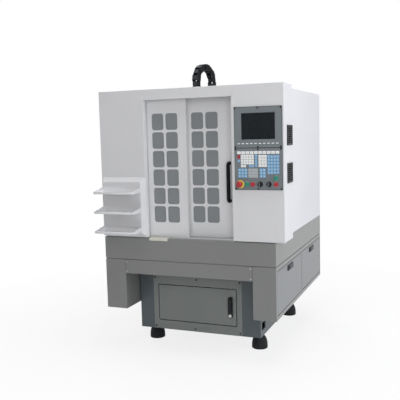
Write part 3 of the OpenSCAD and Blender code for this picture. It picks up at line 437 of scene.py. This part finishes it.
smallWork = {
    "cutRadius": 0.8,
    "looks": {
        "screen_bezel": bezelCoat, "keyboard_panel": bezelCoat, "screen": glass,
        "white_keys": whiteKeys, "blue_keys": blueKeys, "grey_keys": greyKeys,
        "lock_base": blackNylon, "lock_lever": blackNylon, "pull_handle": handleNylon,
        "fan_grilles": blackNylon, "fan_rotor": blackNylon,
        "axis_motors": blackNylon, "z_motor": blackNylon,
        "spindle": groundSteel, "spindle_nose": groundSteel, "guide_rails": groundSteel,
        "door_rails": zincSteel, "electrics_panel": zincSteel,
        "left_pane": acrylic, "right_pane": acrylic, "feet": blackRubberAndGapShade,
        "estop_head": redPlastic, "stop_button": redPlastic, "off_button": redPlastic,
        "start_button": greenPlastic, "on_button": greenPlastic,
        "feed_knob": blackNylon, "speed_knob": blackNylon,
        "paddle_left_front": darkZinc, "paddle_left_rear": darkZinc,
        "paddle_right_front": darkZinc, "paddle_right_rear": darkZinc,
    },
}
for nodeName, look in smallWork["looks"].items():
    finishNode(nodeName, look, cutRadius=smallWork["cutRadius"])
print("small solids done")


# Second finishes on parts of the solids, by their place on the machine in mm

latches = {
    "x": {"right": (1199.9, 1204.2), "left": (-4.2, 0.1)},
    "middles": {"front": 360, "rear": 1022.5},
    "reach": 71.5,            # mm, past the ends of a latch cup
    "z": (569, 607),
}
for side, x in latches["x"].items():
    for place, middle in latches["middles"].items():
        paintBox("flap_%s_%s" % (side, place), blackNylon, x=x, z=latches["z"],
                 y=(middle - latches["reach"], middle + latches["reach"]))

railLimits = {"y": (629, 655.1), "z": (1224, 1661)}
buttonY = (-18, -14.05)
secondFinishes = (
    # guide plate of the doors
    ("door_rails", creamNylon, {"x": (337, 471), "y": (-4, 30.2), "z": (787, 807)}),
    # rings of the buttons, the stop button's collar and the reset key
    ("keyboard_panel", zincSteel, {"y": buttonY, "z": (1140, 1230)}),
    ("keyboard_panel", yellowPlastic, {"x": (959, 1011), "y": buttonY, "z": (1142, 1194)}),
    ("grey_keys", redPlastic, {"z": (1300, 1360)}),
    # barrel of the lock, studs and nuts of the feet
    ("lock_base", zincSteel, {"x": (821, 845), "y": (170, 174.3), "z": (254, 278)}),
    ("feet", zincSteel, {"z": (92.5, 140)}),
    # upright rails of the carriage and the table's milled top
    ("x_carriage", groundSteel, {"x": (522, 548), **railLimits}),
    ("x_carriage", groundSteel, {"x": (652, 678), **railLimits}),
    ("table", ironFace, {"z": (963, 965)}),
    # drives, inverter and terminals
    ("electrics_panel", blackNylon, {"x": (353, 585), "y": (379, 520.1), "z": (259, 421)}),
    ("electrics_panel", bezelCoat, {"x": (615, 717), "y": (399, 520.1), "z": (259, 421)}),
    ("electrics_panel", creamNylon, {"x": (353, 835), "y": (473, 520.1), "z": (175, 217)}),
)
for nodeName, look, limits in secondFinishes:
    paintBox(nodeName, look, **limits)

keyPrint = {
    "y": (-16.3, -16.1),      # mm, where the tops of the caps are
    "fields": (               # the keys, their ink, their rows in z and the plain border in mm
        ("white_keys", greyPrint, (1352, 1380), 5.4),
        ("white_keys", greyPrint, (1260, 1350), 4.8),
        ("blue_keys", paleBluePrint, (1200, 1350), 4.0),
        ("grey_keys", slatePrint, (1200, 1290), 5.0),
    ),
}
for nodeName, look, z, border in keyPrint["fields"]:
    pickBox(finished[nodeName], y=keyPrint["y"], z=z)
    bpy.ops.mesh.inset(thickness=border * mm, depth=0, use_individual=True)
    paintPicked(finished[nodeName], look)

pointers = {"knobs": ("feed_knob", "speed_knob"), "y": (-37.02, -36.98), "border": 1.7}
for nodeName in pointers["knobs"]:
    pickBox(finished[nodeName], y=pointers["y"])
    bpy.ops.mesh.dissolve_faces()
    bpy.ops.mesh.inset(thickness=pointers["border"] * mm, depth=0, use_individual=True)
    paintPicked(finished[nodeName], whiteKeys)
print("second finishes done")


# Fasteners: socket screws, modelled once and copied to their places

screwHead = {                 # lengths are shares of the head's radius
    "sides": 24,
    "crown": 0.18,
    "land": 0.3,
    "rounding": 0.12,
    "narrowest": 0.4,         # mm, narrower faces keep a sharp edge
    "sharpAngle": 60,
}


def socketScrew(size):
    radius, height, socket, depth = (size[name] * mm for name in ("radius", "height", "socket", "depth"))
    freshSelection()
    bpy.ops.mesh.primitive_cylinder_add(vertices=screwHead["sides"], radius=radius, depth=height,
                                        location=(0, 0, height / 2))
    screw = bpy.context.object
    applyPlace()
    pickFaces(screw, lambda face: face.normal.z > flatOn)
    bpy.ops.mesh.inset(thickness=screwHead["crown"] * radius, depth=0)
    bpy.ops.mesh.inset(thickness=screwHead["land"] * radius, depth=0)
    shape = bmesh.from_edit_mesh(screw.data)
    sixth = math.radians(60)
    for corner in (v for v in shape.verts if v.select):    # the inner ring becomes a hexagon
        angle = math.atan2(corner.co.y, corner.co.x)
        reach = socket / math.cos(angle % sixth - sixth / 2)
        corner.co.x, corner.co.y = reach * math.cos(angle), reach * math.sin(angle)
    bmesh.update_edit_mesh(screw.data)
    bpy.ops.mesh.extrude_region_move(TRANSFORM_OT_translate={"value": (0, 0, -depth)})
    bpy.ops.object.mode_set(mode="OBJECT")
    roundEdges(screw, screwHead["rounding"] * radius, solidWork["cutSegments"],
               screwHead["narrowest"] * mm, screwHead["sharpAngle"])
    return screw


def setOut(master, name, look, body, places):
    # copies of a master piece at their places, facing the front, joined to one piece
    copies = []
    for place in places:
        copy = bpy.data.objects.new(name, master.data.copy())
        scene.collection.objects.link(copy)
        copy.location = place
        copy.rotation_euler = (math.pi / 2, 0, 0)
        copies.append(copy)
    freshSelection(*copies)
    applyPlace()
    bpy.ops.object.join()
    piece = bpy.context.object
    piece.name = name
    dress(piece, look)
    smoothPiece(piece, angle=35)
    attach(piece, body)


screwSizes = {                # mm, the socket is half of its width across flats
    "plate": {"radius": 5.5, "height": 4.5, "socket": 2.5, "depth": 2.6},
    "unit": {"radius": 5.0, "height": 2.8, "socket": 2.0, "depth": 1.5},
    "beam": {"radius": 5.0, "height": 4.0, "socket": 2.5, "depth": 2.4},
}
unitX = (957, 1100, 1243)
screwSets = {                 # size, finish, slot, the face's y, and grids of x and z
    "plateScrews": ("plate", blackOxide, "black_plastic", 185,
                    (((279, 576, 901), (149,)), ((279, 590, 901), (495,)))),
    "screenScrews": ("unit", blackOxide, "black_plastic", -14, ((unitX, (1396.5, 1630.5)),)),
    "keyboardScrews": ("unit", blackOxide, "black_plastic", -14, ((unitX, (1140.5, 1381.5)),)),
    "beamScrews": ("beam", zincSteel, "steel", 0, (((163, 1037), (571, 637)),)),
}
for name, (size, look, slotName, y, grids) in screwSets.items():
    master = socketScrew(screwSizes[size])
    places = [spot(x, y, z) for xs, zs in grids for x in xs for z in zs]
    setOut(master, name, look, "frame", places)
    bpy.data.objects.remove(master)
print("screws fitted")


# Black strip that shows round the screen and keyboard units, a dark sheet set behind their gaps as painted
# shade

gapShade = {
    "columns": (948.4, 950.8, 1249.2, 1251.6),
    "rows": (1132.4, 1134.8, 1387.2, 1390.8, 1636.2, 1638.6),
    "openings": 2,
    "back": -8,
    "thickness": 4,
    "rounding": 1.0,
}


def unitGapShadeStrip():
    acrossBays, upBays = len(gapShade["columns"]) - 1, len(gapShade["rows"]) - 1
    freshSelection()
    bpy.ops.mesh.primitive_grid_add(x_subdivisions=acrossBays, y_subdivisions=upBays, size=2)
    piece = bpy.context.object
    piece.name = "unitGapShadeStrip"
    shape = openMesh(piece)
    for corner in shape.verts:                  # the even grid is drawn out to the units' sizes
        column = round((corner.co.x + 1) / 2 * acrossBays)
        row = round((corner.co.y + 1) / 2 * upBays)
        corner.co = spot(gapShade["columns"][column], gapShade["back"], gapShade["rows"][row])
    for face in sorted(shape.faces, key=lambda f: -f.calc_area())[:gapShade["openings"]]:
        face.select_set(True)
    bmesh.update_edit_mesh(piece.data)
    bpy.ops.mesh.delete(type="FACE")
    bpy.ops.mesh.select_all(action="SELECT")
    bpy.ops.mesh.extrude_region_move(TRANSFORM_OT_translate={"value": (0, -gapShade["thickness"] * mm, 0)})
    faceOutwards()
    bpy.ops.mesh.dissolve_limited(angle_limit=math.radians(1))
    bpy.ops.object.mode_set(mode="OBJECT")
    radius = gapShade["rounding"] * mm
    roundEdges(piece, radius, solidWork["cutSegments"], radius)
    # near-black finish on the strip: painted shade for the gaps between the units
    dress(piece, blackRubberAndGapShade)
    smoothPiece(piece)
    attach(piece, "frame")


unitGapShadeStrip()
print("gasket done")


# Pleated near-black mats behind the slats of both grilles, painted shade for the dark inside of the
# cabinet; the upper one is cut out for the fan

slotShadeMats = {
    "y": 128,
    "z": (1229, 1461),
    "half": 52.5,
    "back": 1260.6,           # mm in x, just clear of the cabinet's wall
    "pleat": 0.7,
    "thickness": 0.5,
    "rows": 40,
    "cutOuts": (0, 54),       # mm, radius
}


def slotShadeMat(z, cutOut):
    half, rows = slotShadeMats["half"], slotShadeMats["rows"]
    freshSelection()
    bpy.ops.mesh.primitive_grid_add(x_subdivisions=rows, y_subdivisions=rows, size=2)
    piece = bpy.context.object
    piece.name = "slotShadeMat"
    pickFaces(piece, lambda face: face.calc_center_median().length * half < cutOut)
    shape = bmesh.from_edit_mesh(piece.data)
    for corner in shape.verts:                  # pleats run upright
        fold = round((corner.co.x + 1) / 2 * rows) % 2
        corner.co = spot(slotShadeMats["back"] + fold * slotShadeMats["pleat"],
                         slotShadeMats["y"] + corner.co.x * half, z + corner.co.y * half)
    bmesh.update_edit_mesh(piece.data)
    if cutOut:
        bpy.ops.mesh.delete(type="FACE")
    bpy.ops.object.mode_set(mode="OBJECT")
    applyModifier(piece, "SOLIDIFY", {"thickness": slotShadeMats["thickness"] * mm, "offset": 0})
    bpy.ops.object.mode_set(mode="EDIT")
    faceOutwards()
    bpy.ops.object.mode_set(mode="OBJECT")
    # near-black foam finish: painted shade behind the slots
    dress(piece, paintedSlotShade)
    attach(piece, "frame")


for z, cutOut in zip(slotShadeMats["z"], slotShadeMats["cutOuts"]):
    slotShadeMat(z, cutOut)
print("filter mats done")


# Ball screws with their rolled helical ridge

ballScrews = {
    "x_screw": {"along": 0, "radius": 10, "pitch": 10, "body": "x_screw"},
    "y_screw": {"along": 1, "radius": 10, "pitch": 10, "body": "y_screw"},
    "z_screw": {"along": 2, "radius": 8, "pitch": 5, "body": "z_screw"},
}
thread = {                    # shares of the screw's radius, and of its pitch where said
    "core": 0.86,
    "crest": 0.995,
    "root": 0.8,              # the ridge starts inside the core
    "journal": 0.74,
    "chamfer": (0.12, 0.1),
    "crestHalf": 0.2,         # of the pitch
    "rootHalf": 0.36,         # of the pitch
    "plain": 4,               # pitches left without a ridge
    "sides": 24,
    "steps": 18,              # of one turn
}


def screwShaft(radius, length):
    core, journal = thread["core"] * radius, thread["journal"] * radius
    freshSelection()
    bpy.ops.mesh.primitive_cylinder_add(vertices=thread["sides"], radius=core, depth=length)
    shaft = bpy.context.object
    pickFaces(shaft, lambda face: abs(face.normal.z) > flatOn)
    # turned journals at both ends
    bpy.ops.mesh.inset(thickness=core - journal, depth=0, use_individual=True)
    across, deep = (share * radius for share in thread["chamfer"])
    bpy.ops.mesh.inset(thickness=across, depth=-deep, use_individual=True)
    bpy.ops.object.mode_set(mode="OBJECT")
    return shaft


def screwRidge(radius, pitch, turns):
    freshSelection()
    bpy.ops.mesh.primitive_plane_add(size=1)
    ridge = bpy.context.object
    bpy.ops.object.mode_set(mode="EDIT")
    bpy.ops.mesh.select_all(action="SELECT")
    bpy.ops.mesh.delete(type="ONLY_FACE")
    shape = bmesh.from_edit_mesh(ridge.data)
    for corner in shape.verts:                  # the square becomes the ridge's section
        edge = "crest" if corner.co.x > 0 else "root"
        rise = math.copysign(thread[edge + "Half"] * pitch, corner.co.y)
        corner.co = Vector((thread[edge] * radius, 0, rise))
    bmesh.update_edit_mesh(ridge.data)
    bpy.ops.object.mode_set(mode="OBJECT")
    applyModifier(ridge, "SCREW", {"angle": 2 * math.pi, "screw_offset": pitch, "iterations": turns,
                                   "steps": thread["steps"], "render_steps": thread["steps"]})
    bpy.ops.object.mode_set(mode="EDIT")
    bpy.ops.mesh.select_all(action="SELECT")
    bpy.ops.mesh.fill_holes(sides=4)
    faceOutwards()
    bpy.ops.object.mode_set(mode="OBJECT")
    ridge.location.z = -turns * pitch / 2
    return ridge


def ballScrew(nodeName):
    sizes = ballScrews[nodeName]
    low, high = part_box(nodeName)
    axis, radius, pitch = sizes["along"], sizes["radius"] * mm, sizes["pitch"] * mm
    length = high[axis] - low[axis]
    turns = int((length - thread["plain"] * pitch) / pitch)
    shaft = screwShaft(radius, length)
    ridge = screwRidge(radius, pitch, turns)
    freshSelection(shaft, ridge)
    applyPlace()
    bpy.ops.object.join()
    shaft.rotation_euler = ((0, math.pi / 2, 0), (math.pi / 2, 0, 0), (0, 0, 0))[axis]
    shaft.location = (low + high) / 2
    freshSelection(shaft)
    applyPlace()
    shaft.name = nodeName + "_threaded"
    dress(shaft, groundSteel)
    smoothPiece(shaft, angle=30)
    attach(shaft, sizes["body"])
    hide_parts(nodeName)


for nodeName in ballScrews:
    ballScrew(nodeName)
print("ball screws done")


# Drag chain, bent between the carriage and the spindle head

chainWork = {
    "cutRadius": 0.6,
    "turn": 12.5,             # degrees, the arch's plane off the fore and aft line
    "barArea": 330,           # mm2, a face this large across the plane belongs to a cross bar
    "barLean": 0.3,           # cosine, below which a face counts as across the plane
    "leg": 54,                # mm, depth of each straight leg
}


def dragChain():
    chain = finishNode("drag_chain", chainNylon, cutRadius=chainWork["cutRadius"])
    turn = math.radians(chainWork["turn"])
    across = Vector((math.cos(turn), -math.sin(turn), 0))
    barArea = chainWork["barArea"] * mm * mm
    # the outer faces of the cross bars take the lighter bluish tone: painted reflection
    pickFaces(chain, lambda face: (abs(face.normal.dot(across)) < chainWork["barLean"]
                                   and face.calc_area() > barArea))
    paintPicked(chain, barNylonPaintedSheen)
    chain.parent = None                         # it rides on two bodies, not on its node's one
    del chain["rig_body"]
    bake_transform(chain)


dragChain()
print("drag chain done")


# Camera, floor and light

viewpoint = {
    "place": (1.5685, -4.2714, 1.4892),
    "yaw": -0.386,
    "pitch": -0.107,
    "roll": -0.0254,
    "lens": 56.36,
    "sensor": 36,
}


def setCamera():
    yaw, pitch, roll = (viewpoint[name] for name in ("yaw", "pitch", "roll"))
    ahead = Vector((math.sin(yaw) * math.cos(pitch), math.cos(yaw) * math.cos(pitch), math.sin(pitch)))
    level = Vector((math.cos(yaw), -math.sin(yaw), 0))
    plumb = level.cross(ahead)
    right = math.cos(roll) * level + math.sin(roll) * plumb
    up = math.cos(roll) * plumb - math.sin(roll) * level
    turn = Matrix((right, up, -ahead)).transposed()
    freshSelection()
    bpy.ops.object.camera_add(location=viewpoint["place"], rotation=turn.to_euler())
    camera = bpy.context.object
    camera.data.lens = viewpoint["lens"]
    camera.data.sensor_width = viewpoint["sensor"]
    scene.camera = camera


lighting = {
    "sky": 0.08,              # plain light from all round
    "skyColour": "#F7F8FA",
    "aim": (0, 0, 0.9),
    "lamps": {
        "key": {"place": (4.6, -0.6, 2.6), "size": 2.5, "power": 97, "colour": (0.97, 1.0, 1.06)},
        "fill": {"place": (2.6, -5.0, 2.4), "size": 2.5, "power": 69, "colour": (1, 1, 0.985)},
        "high": {"place": (-0.6, -5.2, 4.6), "size": 1.6, "power": 28, "colour": (1, 1, 0.985)},
        "top": {"place": (0.6, -0.6, 5.2), "size": 3.5, "power": 148, "colour": (1, 1, 1)},
        "back": {"place": (-3.6, 4.4, 3.0), "size": 3.0, "power": 150, "colour": (1, 1, 1)},
    },
}
white = (1, 1, 1, 1)


def shownRays(tree):
    # 1 for the rays that see the backdrop: straight from the camera, off gloss and through glass
    ray = addNode(tree, "LightPath")
    seen = addNode(tree, "Math", {"operation": "MAXIMUM"},
                   {0: ray.outputs["Is Camera Ray"], 1: ray.outputs["Is Glossy Ray"]})
    shown = addNode(tree, "Math", {"operation": "MAXIMUM"},
                    {0: seen.outputs[0], 1: ray.outputs["Is Transmission Ray"]})
    return shown.outputs[0]


def setLight():
    scene.view_settings.view_transform = "Standard"
    world = bpy.data.worlds.new("softStudio")
    world.use_nodes = True
    scene.world = world
    tree = world.node_tree
    tree.nodes.clear()
    shown = shownRays(tree)
    sky = addNode(tree, "Background", {"Color": linear(lighting["skyColour"]), "Strength": lighting["sky"]})
    backdrop = addNode(tree, "Background", {"Color": white, "Strength": 1.0})
    mixed = addNode(tree, "MixShader", links={0: shown, 1: sky.outputs[0], 2: backdrop.outputs[0]})
    addNode(tree, "OutputWorld", links={"Surface": mixed.outputs[0]})
    for name, lamp in lighting["lamps"].items():
        aim = Vector(lighting["aim"]) - Vector(lamp["place"])
        freshSelection()
        bpy.ops.object.light_add(type="AREA", location=lamp["place"],
                                 rotation=aim.to_track_quat("-Z", "Y").to_euler())
        light = bpy.context.object
        light.name = name + "Light"
        light.data.size = lamp["size"]
        light.data.energy = lamp["power"]
        light.data.color = lamp["colour"]


floorWork = {
    "size": 60,
    "colour": "#F4F4F4",
    "fade": (0.9, 3.0),       # m from the middle, where the shadow starts to fade and is gone
    "paper": (0.82, 1.0),     # share of plain white at those two places
}


def layFloor():
    freshSelection()
    bpy.ops.mesh.primitive_plane_add(size=floorWork["size"])
    floor = bpy.context.object
    floor.name = "studioFloor"
    look = bpy.data.materials.new("paleFloor")
    look.use_nodes = True
    tree = look.node_tree
    tree.nodes.clear()
    shown = shownRays(tree)
    place = addNode(tree, "TexCoord").outputs["Object"]
    away = addNode(tree, "VectorMath", {"operation": "LENGTH"}, {0: place})
    (near, far), (nearPaper, farPaper) = floorWork["fade"], floorWork["paper"]
    fade = addNode(tree, "MapRange",
                   {"From Min": near, "From Max": far, "To Min": nearPaper, "To Max": farPaper},
                   {"Value": away.outputs["Value"]})
    share = addNode(tree, "Math", {"operation": "MULTIPLY"}, {0: shown, 1: fade.outputs[0]})
    matt = addNode(tree, "BsdfDiffuse", {"Color": linear(floorWork["colour"])})
    paper = addNode(tree, "Emission", {"Color": white, "Strength": 1.0})
    mixed = addNode(tree, "MixShader", links={0: share.outputs[0], 1: matt.outputs[0], 2: paper.outputs[0]})
    addNode(tree, "OutputMaterial", links={"Surface": mixed.outputs[0]})
    dress(floor, look)


setCamera()
setLight()
layFloor()
print("camera, light and floor set")
